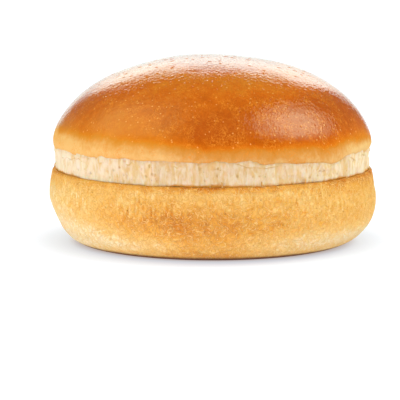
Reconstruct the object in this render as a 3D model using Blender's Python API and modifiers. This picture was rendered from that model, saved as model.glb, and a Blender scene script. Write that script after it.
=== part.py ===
"""A sliced hamburger bun: a glossy domed crown that rests on a golden heel.

Everything is in metres, +Z up. The bun stands on the plane z = 0, its box is centred on the
Z axis, and its front faces -Y. Both halves are turned shapes made slightly uneven: a bun is
never quite round, its crown droops a little at both ends, and the pale side below the
crown's rim is torn, with shallow flutes and a ragged upper edge.
"""

import math
from dataclasses import dataclass

import bmesh
import bpy
from mathutils import Vector, noise

# Driving dimensions of the whole bun
BUN_WIDTH = 0.1020
BUN_HEIGHT = 0.0588
SLICE_HEIGHT = 0.0238
SLICE_GAP = 0.0003

# Heel: a flat spot, a deep rounding up to the widest ring, and a side that leans in to the rim
BASE_FLAT_RADIUS = 0.0330
HEEL_WIDE_HEIGHT = 0.0168
HEEL_ROUND_OUT = 3.1
HEEL_ROUND_UP = 2.05
HEEL_RIM_RADIUS = 0.0502
HEEL_RIM_LEAN = 1.5
HEEL_RIM_ROUND = 0.0009

# Crown: a pale torn side, set back under the rim, and a dome that is a little pointed
SIDE_RADIUS = 0.0490
SIDE_TOP_HEIGHT = 0.0310
CROWN_RIM_RADIUS = 0.0499
CROWN_RIM_HEIGHT = 0.0338
DOME_ROUND_OUT = 2.15
DOME_ROUND_UP = 1.68

# The crown's droop: lower at +X than at -X, and lower at both ends than at the front
CROWN_TILT = 0.0145
CROWN_END_DROP = 0.0018

# The torn side: depth of its flutes, their width and length, and how ragged its upper edge is
FLUTE_DEPTH = 0.0006
FLUTE_WIDTH = 0.0050
FLUTE_LENGTH = 0.0120
RAGGED_HEIGHT = 0.0009
RAGGED_WIDTH = 0.0070

# How far each half is from round: waves around the bun, share of the radius, turn in radians
HEEL_WAVES = ((2, 0.0040, 1.40), (3, 0.0025, 1.57), (5, 0.0016, 1.40))
CROWN_WAVES = ((2, 0.0035, 1.75), (3, 0.0028, 4.71), (4, 0.0014, 1.50))
SWELL_WIDTH = 0.022
SWELL_DEPTH = 0.0004

# Mesh fineness
TURN_STEPS = 120
MERGE_DISTANCE = 0.00001
SHARP_ANGLE = math.radians(50)

# Linear colours, and roughness from 0 for a mirror to 1 for chalk
HEEL_COLOUR = (0.85, 0.47, 0.14, 1.0)
HEEL_CRUST_ROUGHNESS = 0.65
CROWN_COLOUR = (0.58, 0.17, 0.025, 1.0)
CROWN_CRUST_ROUGHNESS = 0.3


@dataclass(frozen=True)
class Bulge:
    """How far a half stands out at its +X and -X sides, between two heights."""

    right: float
    left: float
    low: float
    high: float

    def at(self, place: Vector) -> float:
        """Returns how far the surface stands out at a point, in metres."""
        towards_x = math.cos(math.atan2(place.y, place.x))
        share = min(max((place.z - self.low) / (self.high - self.low), 0.0), 1.0)
        depth = self.right if towards_x > 0.0 else self.left
        return depth * towards_x**2 * math.sin(share * math.pi)


# The heel is fuller at +X and undercut at -X, and the crown's +X shoulder is fuller
HEEL_BULGES = (
    Bulge(right=0.0010, left=0.0, low=0.0, high=0.0180),
    Bulge(right=0.0, left=-0.0009, low=0.0, high=0.0145),
)
CROWN_BULGE = Bulge(right=0.0009, left=0.0, low=0.0330, high=0.0580)


def clear_scene() -> None:
    """Removes every object that the file opened with."""
    for found in list(bpy.data.objects):
        bpy.data.objects.remove(found)


def bread_material(
    name: str, colour: tuple[float, float, float, float], roughness: float
) -> bpy.types.Material:
    """Returns a plain crust material of one colour.

    Args:
        name: The material's name.
        colour: Linear red, green, blue and alpha.
        roughness: 0 for a mirror, 1 for chalk.
    """
    material = bpy.data.materials.new(name)
    material.use_nodes = True
    shader = material.node_tree.nodes["Principled BSDF"]
    shader.inputs["Base Color"].default_value = colour
    shader.inputs["Roughness"].default_value = roughness
    shader.inputs["Metallic"].default_value = 0.0
    return material


def shares(count: int) -> list[float]:
    """Returns count + 1 even steps from 0 to 1."""
    return [step / count for step in range(count + 1)]


def rise(low: float, high: float, value: float) -> float:
    """Returns 0 below low, 1 above high and a smooth rise between them."""
    share = min(max((value - low) / (high - low), 0.0), 1.0)
    return share * share * (3.0 - 2.0 * share)


def sine(share: float) -> float:
    """Returns the sine of a share of a quarter turn."""
    return math.sin(share * math.pi / 2)


def cosine(share: float) -> float:
    """Returns the cosine of a share of a quarter turn, exactly 0 at the whole of it."""
    return math.cos(share * math.pi / 2) if share < 1.0 else 0.0


def heel_profile() -> list[tuple[float, float]]:
    """Returns the heel's half outline as radius and height, from the cut face down to the base."""
    wide = BUN_WIDTH / 2
    face_radius = HEEL_RIM_RADIUS - HEEL_RIM_ROUND
    shoulder = SLICE_HEIGHT - HEEL_RIM_ROUND
    cut_face = [(share * face_radius, SLICE_HEIGHT) for share in (0.0, 0.35, 0.7)]
    rim = [
        (face_radius + HEEL_RIM_ROUND * sine(share), shoulder + HEEL_RIM_ROUND * cosine(share))
        for share in shares(3)
    ]
    side = [
        (
            wide - (wide - HEEL_RIM_RADIUS) * share**HEEL_RIM_LEAN,
            HEEL_WIDE_HEIGHT + (shoulder - HEEL_WIDE_HEIGHT) * share,
        )
        for share in reversed(shares(4)[:-1])
    ]
    rounding = [
        (
            BASE_FLAT_RADIUS + (wide - BASE_FLAT_RADIUS) * cosine(share) ** (2 / HEEL_ROUND_OUT),
            HEEL_WIDE_HEIGHT * (1.0 - sine(share) ** (2 / HEEL_ROUND_UP)),
        )
        for share in shares(12)[1:]
    ]
    base = [(share * BASE_FLAT_RADIUS, 0.0) for share in (0.5, 0.0)]
    return cut_face + rim + side + rounding + base


def crown_profile() -> list[tuple[float, float]]:
    """Returns the crown's half outline as radius and height, from the top down to the cut face."""
    dome_height = BUN_HEIGHT - CROWN_RIM_HEIGHT
    dome = [
        (
            CROWN_RIM_RADIUS * sine(share) ** (2 / DOME_ROUND_OUT),
            CROWN_RIM_HEIGHT + dome_height * cosine(share) ** (2 / DOME_ROUND_UP),
        )
        for share in shares(16)
    ]
    overhang = [
        (
            SIDE_RADIUS + (CROWN_RIM_RADIUS - SIDE_RADIUS) * cosine(share),
            CROWN_RIM_HEIGHT - (CROWN_RIM_HEIGHT - SIDE_TOP_HEIGHT) * sine(share),
        )
        for share in shares(4)[1:]
    ]
    cut_height = SLICE_HEIGHT + SLICE_GAP
    torn_side = [
        (SIDE_RADIUS, SIDE_TOP_HEIGHT + (cut_height - SIDE_TOP_HEIGHT) * share)
        for share in shares(5)[1:]
    ]
    cut_face = [(share * SIDE_RADIUS, cut_height) for share in (0.7, 0.35, 0.0)]
    return dome + overhang + torn_side + cut_face


def turned(name: str, profile: list[tuple[float, float]]) -> bpy.types.Object:
    """Turns a half outline about the Z axis and returns the closed solid as an object.

    Args:
        name: The object's name.
        profile: Radius and height of each point, from the top down.
    """
    outline = bmesh.new()
    points = [outline.verts.new((radius, 0.0, height)) for radius, height in profile]
    for upper, lower in zip(points, points[1:]):
        outline.edges.new((upper, lower))
    mesh = bpy.data.meshes.new(name)
    outline.to_mesh(mesh)
    outline.free()
    body = bpy.data.objects.new(name, mesh)
    bpy.context.scene.collection.objects.link(body)
    screw = body.modifiers.new("turn", "SCREW")
    screw.steps = TURN_STEPS
    screw.render_steps = TURN_STEPS
    screw.use_merge_vertices = True
    screw.merge_threshold = MERGE_DISTANCE
    bpy.context.view_layer.update()
    solid = bpy.data.meshes.new_from_object(body.evaluated_get(bpy.context.evaluated_depsgraph_get()))
    body.modifiers.clear()
    body.data = solid
    bpy.data.meshes.remove(mesh)
    return body


def out_of_round(place: Vector, waves: tuple[tuple[int, float, float], ...]) -> float:
    """Returns how many times further out a point lies than on a true circle."""
    angle = math.atan2(place.y, place.x)
    return 1.0 + sum(share * math.cos(count * angle + turn) for count, share, turn in waves)


def swell(place: Vector, seed: float) -> float:
    """Returns the soft swell or dent of the dough at a point, in metres."""
    return SWELL_DEPTH * noise.noise(place / SWELL_WIDTH + Vector((seed, seed, seed)))


def flute(place: Vector) -> float:
    """Returns how far the torn side stands out at a point, in metres."""
    grain = Vector((place.x / FLUTE_WIDTH, place.y / FLUTE_WIDTH, place.z / FLUTE_LENGTH))
    return FLUTE_DEPTH * noise.noise(grain)


def ragged_edge(place: Vector) -> float:
    """Returns how far the torn side's upper edge is raised at a point, in metres."""
    below = rise(SLICE_HEIGHT + SLICE_GAP, SIDE_TOP_HEIGHT, place.z)
    above = 1.0 - rise(SIDE_TOP_HEIGHT, CROWN_RIM_HEIGHT, place.z)
    around = Vector((place.x / RAGGED_WIDTH, place.y / RAGGED_WIDTH, 0.5))
    return RAGGED_HEIGHT * below * above * noise.noise(around)


def crown_droop(place: Vector) -> float:
    """Returns how far the crown's rim hangs down at a point, in metres."""
    sideways = place.x / SIDE_RADIUS
    below_top = 1.0 - rise(CROWN_RIM_HEIGHT, BUN_HEIGHT, place.z)
    above_cut = rise(SLICE_HEIGHT + SLICE_GAP, SIDE_TOP_HEIGHT, place.z)
    return (CROWN_TILT * place.x + CROWN_END_DROP * sideways**2) * below_top * above_cut


def shape_heel(heel: bpy.types.Object) -> None:
    """Makes the turned heel uneven and keeps its cut face and its base flat."""
    for vertex in heel.data.vertices:
        place = vertex.co.copy()
        outward = Vector((place.x, place.y, 0.0)).normalized()
        stands_out = swell(place, 3.0) * rise(0.0, HEEL_WIDE_HEIGHT, place.z)
        stands_out *= rise(0.0, BASE_FLAT_RADIUS, math.hypot(place.x, place.y))
        stands_out += sum(bulge.at(place) for bulge in HEEL_BULGES)
        grown = out_of_round(place, HEEL_WAVES)
        vertex.co = Vector((place.x * grown, place.y * grown, place.z)) + outward * stands_out


def shape_crown(crown: bpy.types.Object) -> None:
    """Makes the turned crown uneven, tears its side and keeps its cut face flat."""
    for vertex in crown.data.vertices:
        place = vertex.co.copy()
        radius = math.hypot(place.x, place.y)
        on_crust = place.z > SIDE_TOP_HEIGHT
        on_torn_side = not on_crust and radius > 0.9 * SIDE_RADIUS
        if on_crust:
            centre = Vector((0.0, 0.0, SIDE_TOP_HEIGHT))
            move = (place - centre).normalized() * (swell(place, 7.0) + CROWN_BULGE.at(place))
        elif on_torn_side:
            move = Vector((place.x, place.y, 0.0)).normalized() * flute(place)
        else:
            move = Vector()
        move.z += ragged_edge(place) - crown_droop(place)
        grown = out_of_round(place, CROWN_WAVES)
        vertex.co = Vector((place.x * grown, place.y * grown, place.z)) + move


def centre_on_axis(halves: list[bpy.types.Object]) -> None:
    """Moves the halves together, so that the box around both is centred on the Z axis."""
    points = [vertex.co for half in halves for vertex in half.data.vertices]
    middle = Vector(
        (
            (min(point.x for point in points) + max(point.x for point in points)) / 2,
            (min(point.y for point in points) + max(point.y for point in points)) / 2,
            0.0,
        )
    )
    for half in halves:
        for vertex in half.data.vertices:
            vertex.co -= middle


def main() -> None:
    """Builds the two halves in one collection named for the bun."""
    clear_scene()
    bun = bpy.data.collections.new("hamburger_bun")
    bpy.context.scene.collection.children.link(bun)
    heel = turned("heel", heel_profile())
    shape_heel(heel)
    heel.data.materials.append(bread_material("heel_crust", HEEL_COLOUR, HEEL_CRUST_ROUGHNESS))
    crown = turned("crown", crown_profile())
    shape_crown(crown)
    crown.data.materials.append(bread_material("crown_crust", CROWN_COLOUR, CROWN_CRUST_ROUGHNESS))
    centre_on_axis([heel, crown])
    for half in (heel, crown):
        bpy.context.scene.collection.objects.unlink(half)
        bun.objects.link(half)
        half.data.shade_smooth()
        half.data.set_sharp_from_angle(angle=SHARP_ANGLE)


main()
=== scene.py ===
"""Looks of a sliced hamburger bun: glazed crown, torn pale side, golden heel, loose crumbs.

Everything is in metres, +Z up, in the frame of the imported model. The front of the bun
faces -Y. Each half is turned from its outline, made uneven as its solid is, and then given
the fine relief that the solid leaves out.
"""

import logging
import math
import random
from collections.abc import Callable
from dataclasses import dataclass, field
from enum import Enum

import bmesh
import bpy
import numpy as np
from mathutils import Matrix, Vector, noise


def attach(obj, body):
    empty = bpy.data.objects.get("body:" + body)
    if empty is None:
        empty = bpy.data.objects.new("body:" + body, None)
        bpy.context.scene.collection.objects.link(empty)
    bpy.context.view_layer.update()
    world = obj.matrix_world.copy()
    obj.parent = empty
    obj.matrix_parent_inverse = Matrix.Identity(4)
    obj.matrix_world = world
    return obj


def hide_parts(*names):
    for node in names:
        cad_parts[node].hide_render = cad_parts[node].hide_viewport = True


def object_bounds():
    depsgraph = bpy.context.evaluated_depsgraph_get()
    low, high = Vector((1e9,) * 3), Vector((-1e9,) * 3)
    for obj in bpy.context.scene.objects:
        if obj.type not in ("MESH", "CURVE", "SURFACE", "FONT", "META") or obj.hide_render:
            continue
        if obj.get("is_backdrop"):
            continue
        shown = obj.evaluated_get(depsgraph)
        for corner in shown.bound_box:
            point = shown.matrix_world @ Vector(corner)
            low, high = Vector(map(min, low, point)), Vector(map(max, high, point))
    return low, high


log = logging.getLogger("hamburger_bun")

Outline = list[tuple[float, float]]
Colour = tuple[float, float, float, float]
Tint = tuple[float, float, float]
Span = tuple[float, float, float, float]
Socket = bpy.types.NodeSocket
Value = float | tuple[float, ...] | Socket

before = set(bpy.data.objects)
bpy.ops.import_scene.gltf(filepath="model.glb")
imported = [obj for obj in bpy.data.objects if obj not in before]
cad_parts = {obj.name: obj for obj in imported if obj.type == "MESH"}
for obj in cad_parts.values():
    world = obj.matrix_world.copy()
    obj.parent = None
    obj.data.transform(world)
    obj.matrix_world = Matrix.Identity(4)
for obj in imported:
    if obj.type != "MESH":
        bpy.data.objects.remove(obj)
CAD_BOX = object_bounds()

UP = Vector((0.0, 0.0, 1.0))
FRONT = -math.pi / 2
# Grain this tall hardly changes with height.
TALL = 1.0
WHITE = (1.0, 1.0, 1.0, 1.0)
# Points closer together than this are one point.
WELD = 0.000002


class Shape(Enum):
    """The shape of a softbox, by Blender's name for it."""

    ROUND = "ELLIPSE"
    SQUARE = "RECTANGLE"


def shares(count: int) -> list[float]:
    """Returns count + 1 even steps from 0 to 1."""
    return [step / count for step in range(count + 1)]


def clamp(value: float) -> float:
    """Returns a value held between 0 and 1."""
    return min(max(value, 0.0), 1.0)


def rise(start: float, full: float, value: float) -> float:
    """Returns a smooth rise from 0 at start to 1 at full, which may lie above start or below it."""
    share = clamp((value - start) / (full - start))
    return share * share * (3.0 - 2.0 * share)


def sine(share: float) -> float:
    """Returns the sine of a share of a quarter turn."""
    return math.sin(share * math.pi / 2)


def cosine(share: float) -> float:
    """Returns the cosine of a share of a quarter turn, exactly 0 at the whole of it."""
    return math.cos(share * math.pi / 2) if share < 1.0 else 0.0


def flat(place: Vector) -> Vector:
    """Returns the direction from the axis to a point, level and one long."""
    return Vector((place.x, place.y, 0.0)).normalized()


def outward(angle: float) -> Vector:
    """Returns the level direction at an angle round the axis, one long."""
    return Vector((math.cos(angle), math.sin(angle), 0.0))


def angle_of(place: Vector) -> float:
    """Returns how far round the axis a point lies, in radians from +X."""
    return math.atan2(place.y, place.x)


def radius_of(place: Vector) -> float:
    """Returns how far a point lies from the axis."""
    return math.hypot(place.x, place.y)


def evenly(outline: Outline, spacing: float) -> Outline:
    """Returns the same outline with its points an even distance apart.

    Args:
        outline: Radius and height of points close together.
        spacing: Rough distance between the new points, in metres.

    Returns:
        Radius and height of the new points, ends included.
    """
    radii, heights = np.array(outline).T
    steps = np.hypot(np.diff(radii), np.diff(heights))
    along = np.concatenate(([0.0], np.cumsum(steps)))
    wanted = np.linspace(0.0, along[-1], round(along[-1] / spacing) + 1)
    return [(float(np.interp(at, along, radii)), float(np.interp(at, along, heights))) for at in wanted]


def quarter(
    inner: float, outer: float, side: float, end: float, out: float, up: float, steps: int
) -> Outline:
    """Returns a quarter of a squared-off ellipse, from its level end round to its upright side.

    Args:
        inner: Radius at its end.
        outer: Radius at its side.
        side: Height at its side.
        end: Height at its end.
        out: How square it is near its side, 2 being round.
        up: How square it is near its end, 2 being round.
        steps: How many steps it has.

    Returns:
        Radius and height of its points.
    """
    radii = [inner + (outer - inner) * sine(share) ** (2 / out) for share in shares(steps)]
    heights = [side + (end - side) * cosine(share) ** (2 / up) for share in shares(steps)]
    return list(zip(radii, heights))


@dataclass(frozen=True)
class Grain:
    """Smooth noise from -depth to depth, whose grain is so wide and tall in metres."""

    depth: float
    across: float
    up: float
    seed: float

    def at(self, place: Vector) -> float:
        """Returns the noise at a point."""
        x, y, z = place.x / self.across, place.y / self.across, place.z / self.up
        return self.depth * noise.noise(Vector((x + self.seed, y - self.seed, z + self.seed)))

    def sunk(self, place: Vector) -> float:
        """Returns the noise at a point, moved down so that it never stands out."""
        return self.at(place) - self.depth


@dataclass(frozen=True)
class Fade:
    """An amount that comes in smoothly, from none at one value of a measure to all at another."""

    amount: float
    start: float
    full: float

    def at(self, value: float, softer: float = 0.0) -> float:
        """Returns the amount at a value, where it is full only so much further on."""
        return self.amount * rise(self.start, self.full + softer, value)


@dataclass(frozen=True)
class Bell:
    """An amount that is full at one value of a measure and fades out on both sides of it."""

    amount: float
    middle: float
    width: float

    def at(self, value: float) -> float:
        """Returns the amount at a value."""
        return self.amount * math.exp(-(((value - self.middle) / self.width) ** 2))


@dataclass(frozen=True)
class Bulge:
    """How far a half stands out at its +X and -X sides, between two heights."""

    right: float
    left: float
    low: float
    high: float

    def at(self, place: Vector) -> float:
        """Returns how far the surface stands out at a point, in metres."""
        towards_x = math.cos(angle_of(place))
        share = clamp((place.z - self.low) / (self.high - self.low))
        depth = self.right if towards_x > 0.0 else self.left
        return depth * towards_x**2 * math.sin(share * math.pi)


@dataclass(frozen=True)
class Unevenness:
    """How far a half is from a true turned shape."""

    waves: tuple[tuple[int, float, float], ...]
    bulges: tuple[Bulge, ...]
    seed: float
    swell_width: float = 0.022
    swell_depth: float = 0.0004

    def grown(self, place: Vector) -> float:
        """Returns how many times further out a point lies than on a true circle."""
        angle = angle_of(place)
        return 1.0 + sum(share * math.cos(count * angle + turn) for count, share, turn in self.waves)

    def widened(self, place: Vector) -> Vector:
        """Returns a point of the true turned shape, moved out as far as the waves say."""
        grown = self.grown(place)
        return Vector((place.x * grown, place.y * grown, place.z))

    def stands_out(self, place: Vector) -> float:
        """Returns the soft swell or dent of the dough at a point, in metres."""
        return self.swell_depth * noise.noise(place / self.swell_width + Vector((self.seed,) * 3))

    def bulged(self, place: Vector) -> float:
        """Returns how far the bulges stand out together at a point, in metres."""
        return sum(bulge.at(place) for bulge in self.bulges)


@dataclass(frozen=True)
class Slice:
    """Where the bun is cut through, level, and how brown the cut's edges are round the bun: partly toast, partly
    painted crease shade.
    """

    height: float = 0.0238
    gap: float = 0.0003
    brown: float = 0.45
    blotches: Grain = Grain(0.40, 0.006, TALL, 91.0)
    browner: Bell = Bell(0.45, -93.0, 8.0)
    paler: Bell = Bell(0.5, -128.0, 15.0)

    @property
    def above(self) -> float:
        """Height of the crown's cut face."""
        return self.height + self.gap

    def crease_toast_and_shade(self, place: Vector) -> float:
        """Returns how brown the slice's edges are at a point, partly toast and partly painted crease shade, most
        in front and least at the left.
        """
        degrees = math.degrees(angle_of(place))
        changes = self.blotches.at(place) + self.browner.at(degrees) - self.paler.at(degrees)
        return clamp(self.brown + changes)


class Nodes:
    """A node tree that is put together step by step."""

    def __init__(self, tree: bpy.types.NodeTree) -> None:
        """Takes up a tree to work on."""
        self.tree = tree

    def feed(self, node: bpy.types.Node, inputs: dict[str | int, Value]) -> None:
        """Links a node's inputs to sockets or gives them plain values."""
        for name, value in inputs.items():
            if isinstance(value, bpy.types.NodeSocket):
                self.tree.links.new(value, node.inputs[name])
            else:
                node.inputs[name].default_value = value

    def node(
        self, kind: str, output: str | int, inputs: dict[str | int, Value], **choices: str
    ) -> Socket:
        """Adds a node of a kind, with some inputs and choices set, and returns one of its outputs."""
        node = self.tree.nodes.new(kind)
        for name, choice in choices.items():
            setattr(node, name, choice)
        self.feed(node, inputs)
        return node.outputs[output]

    def spread(
        self, value: Socket, low: float, high: float, to_low: float = 0.0, to_high: float = 1.0
    ) -> Socket:
        """Returns a value moved smoothly from one range to another and held there."""
        ends = {"From Min": low, "From Max": high, "To Min": to_low, "To Max": to_high}
        inputs = {"Value": value, **ends}
        return self.node("ShaderNodeMapRange", "Result", inputs, interpolation_type="SMOOTHSTEP")


@dataclass(frozen=True)
class Mottle:
    """Soft noise in a finish.

    Its fields are the width of its largest features in metres, how many finer layers it has
    and how strong they are, how far it is distorted, what heights are multiplied by, so that
    less than 1 draws it out upright, and how much of it is used.
    """

    size: float
    detail: float = 3.0
    rough: float = 0.5
    twist: float = 0.0
    upright: float = 1.0
    amount: float = 1.0


@dataclass(frozen=True)
class Dots:
    """Small round spots in a finish.

    Its fields are the rough distance in metres between places where a spot can be, the radii
    at which a spot has faded out and within which it is full, as shares of that distance, the
    share of the places that have a spot, and how much of the spots is used.
    """

    spacing: float
    wide: float
    narrow: float
    share: float
    amount: float = 1.0


@dataclass(frozen=True)
class Threads:
    """Winding threads: the width of their loops in metres, how far they wind, how thick they are."""

    size: float
    twist: float
    thickness: float


class Recipe(Nodes):
    """A node material that is put together step by step, in the piece's own coordinates."""

    def __init__(self, name: str) -> None:
        """Starts an empty material of a given name, with one shader."""
        self.material = bpy.data.materials.new(name)
        self.material.use_nodes = True
        super().__init__(self.material.node_tree)
        self.place = self.node("ShaderNodeTexCoord", "Object", {})

    def finish(self, **values: Value) -> bpy.types.Material:
        """Sets the shader's sockets, named with underscores for spaces, and returns the material."""
        shader = self.tree.nodes["Principled BSDF"]
        self.feed(shader, {name.replace("_", " "): value for name, value in values.items()})
        return self.material

    def attribute(self, name: str) -> Socket:
        """Returns a number that the piece holds at each of its points."""
        return self.node("ShaderNodeAttribute", "Fac", {}, attribute_name=name)

    def math(self, operation: str, first: Value, second: Value = 0.0) -> Socket:
        """Returns the result of one sum."""
        return self.node("ShaderNodeMath", 0, {0: first, 1: second}, operation=operation)

    def times(self, first: Value, second: Value) -> Socket:
        """Returns two values multiplied."""
        return self.math("MULTIPLY", first, second)

    def less(self, first: Value, second: Value) -> Socket:
        """Returns one value less another."""
        return self.math("SUBTRACT", first, second)

    def varied(self, value: Value, pattern: Socket, amount: Value) -> Socket:
        """Returns a value shifted up and down by a pattern about its middle."""
        return self.math("ADD", value, self.times(self.less(pattern, 0.5), amount))

    def mottled(self, value: Value, *mottles: Mottle) -> Socket:
        """Returns a value shifted up and down by one noise after another."""
        for mottle in mottles:
            value = self.varied(value, self.noise(mottle), mottle.amount)
        return value

    def noise(self, mottle: Mottle) -> Socket:
        """Returns a soft noise from 0 to 1."""
        place = self.place
        if mottle.upright != 1.0:
            scale = (1.0, 1.0, mottle.upright)
            place = self.node("ShaderNodeMapping", "Vector", {"Vector": place, "Scale": scale})
        inputs = {"Vector": place, "Scale": 1.0 / mottle.size, "Detail": mottle.detail}
        inputs.update({"Roughness": mottle.rough, "Distortion": mottle.twist})
        return self.node("ShaderNodeTexNoise", "Fac", inputs)

    def spots(self, dots: Dots) -> Socket:
        """Returns 1 inside small round spots and 0 between them."""
        inputs = {"Vector": self.place, "Scale": 1.0 / dots.spacing}
        far = self.node("ShaderNodeTexVoronoi", "Distance", inputs)
        chance = self.node("ShaderNodeSeparateColor", "Red", {"Color": far.node.outputs["Color"]})
        without, soft = 1.0 - dots.share, 0.08
        present = self.spread(chance, without - soft, without + soft)
        return self.times(self.spread(far, dots.narrow, dots.wide, 1.0, 0.0), present)

    def thread(self, kind: Threads) -> Socket:
        """Returns 1 along winding threads of one kind and 0 between them."""
        pattern = self.noise(Mottle(kind.size, detail=1.0, twist=kind.twist))
        off_middle = self.math("ABSOLUTE", self.less(pattern, 0.5))
        return self.spread(off_middle, 0.0, kind.thickness, 1.0, 0.0)

    def threads(self, first: Threads, second: Threads) -> Socket:
        """Returns 1 along winding threads of two kinds and 0 between them."""
        return self.math("MAXIMUM", self.thread(first), self.thread(second))

    def ramp(self, value: Socket, stops: tuple[tuple[float, Colour], ...]) -> Socket:
        """Returns the colour that a value from 0 to 1 stands for, given places and linear colours."""
        result = self.node("ShaderNodeValToRGB", "Color", {"Fac": value})
        elements = result.node.color_ramp.elements
        while len(elements) < len(stops):
            elements.new(1.0)
        for element, (place, colour) in zip(elements, stops):
            element.position = place
            element.color = colour
        return result

    def mix(self, share: Value, below: Value, above: Value) -> Socket:
        """Returns two colours mixed, with a share of the one above."""
        inputs = {"Factor": share, 6: below, 7: above}
        return self.node("ShaderNodeMix", 2, inputs, data_type="RGBA")

    def bumped(self, *layers: tuple[Socket, float]) -> Socket:
        """Returns a normal roughened by layers, each a height from 0 to 1 and its depth in metres."""
        under: dict[str, Socket] = {}
        for height, depth in layers:
            inputs = {"Height": height, "Distance": depth, **under}
            under = {"Normal": self.node("ShaderNodeBump", "Normal", inputs)}
        return under["Normal"]


@dataclass(frozen=True)
class GlazedCrust:
    """Finish of the crown: egg-washed caramel crust that pales to gold towards the rim."""

    stops: tuple[tuple[float, Colour], ...] = (
        (0.00, (0.77, 0.490, 0.210, 1.0)),
        (0.25, (0.65, 0.283, 0.066, 1.0)),
        (0.40, (0.61, 0.215, 0.026, 1.0)),
        (0.55, (0.64, 0.178, 0.011, 1.0)),
        (0.75, (0.61, 0.129, 0.005, 1.0)),
        (1.00, (0.47, 0.085, 0.003, 1.0)),
    )
    speck: Colour = (0.88, 0.43, 0.13, 1.0)
    vein: Colour = (0.78, 0.255, 0.026, 1.0)
    gold: Colour = (0.82, 0.330, 0.022, 1.0)
    mottles: tuple[Mottle, ...] = (
        Mottle(0.014, 3.0, 0.5, 0.3, amount=0.24),
        Mottle(0.0055, 2.0, 0.5, 0.6, amount=0.32),
        Mottle(0.0022, 3.0, 0.6, 0.8, amount=0.36),
        Mottle(0.0007, 2.0, 0.5, 0.0, upright=0.6, amount=0.20),
    )
    lively: Span = (0.28, 0.62, 0.75, 1.0)
    specks: Dots = Dots(0.0017, 0.20, 0.08, 0.70, amount=0.75)
    veins: tuple[Threads, Threads] = (Threads(0.0013, 2.0, 0.050), Threads(0.0026, 2.0, 0.035))
    vein_patches: Mottle = Mottle(0.0042, 2.0, 0.5, 0.5)
    vein_shares: Span = (0.40, 0.62, 0.15, 0.75)
    pricks: Dots = Dots(0.0013, 0.30, 0.12, 0.34, amount=0.5)
    wrinkles: Dots = Dots(0.0024, 0.34, 0.16, 0.55, amount=0.9)
    swells: Mottle = Mottle(0.0026, 1.0, amount=0.00003)
    ripples: Mottle = Mottle(0.0011, 2.0, 0.5, 0.4, upright=0.7, amount=0.00014)
    pits: Dots = Dots(0.0014, 0.26, 0.08, 0.35, amount=0.00005)

    def material(self) -> bpy.types.Material:
        """Returns the crust's material, which reads how far each point is baked."""
        recipe = Recipe("glazed_crust")
        baked = recipe.attribute("baked")
        lively = recipe.spread(baked, *self.lively)
        pattern = recipe.mottled(0.0, *self.mottles)
        colour = recipe.ramp(recipe.math("ADD", baked, recipe.times(pattern, lively)), self.stops)
        specks = recipe.times(recipe.spots(self.specks), lively)
        colour = recipe.mix(recipe.times(specks, self.specks.amount), colour, self.speck)
        colour = recipe.mix(recipe.attribute("golden"), colour, self.gold)
        patches = recipe.spread(recipe.noise(self.vein_patches), *self.vein_shares)
        veins = recipe.times(recipe.threads(*self.veins), patches)
        colour = recipe.mix(recipe.times(veins, lively), colour, self.vein)

        pricks = recipe.spread(recipe.spots(self.pricks), 0.0, 1.0, 1.0, 1.0 - self.pricks.amount)
        wrinkles = recipe.times(recipe.spots(self.wrinkles), recipe.attribute("top"))
        wrinkles = recipe.spread(wrinkles, 0.0, 1.0, 1.0, 1.0 - self.wrinkles.amount)
        coated = recipe.times(recipe.times(recipe.attribute("glazed"), pricks), wrinkles)
        normal = recipe.bumped(
            (recipe.noise(self.swells), self.swells.amount),
            (recipe.noise(self.ripples), self.ripples.amount),
            (recipe.less(1.0, recipe.spots(self.pits)), self.pits.amount),
        )
        return recipe.finish(
            Base_Color=colour,
            Roughness=0.6,
            Specular_IOR_Level=0.0,
            Coat_Weight=coated,
            Coat_Roughness=0.055,
            Coat_IOR=1.45,
            Subsurface_Weight=0.06,
            Subsurface_Radius=(1.0, 0.35, 0.12),
            Subsurface_Scale=0.0012,
            Normal=normal,
            Coat_Normal=normal,
        )


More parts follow.
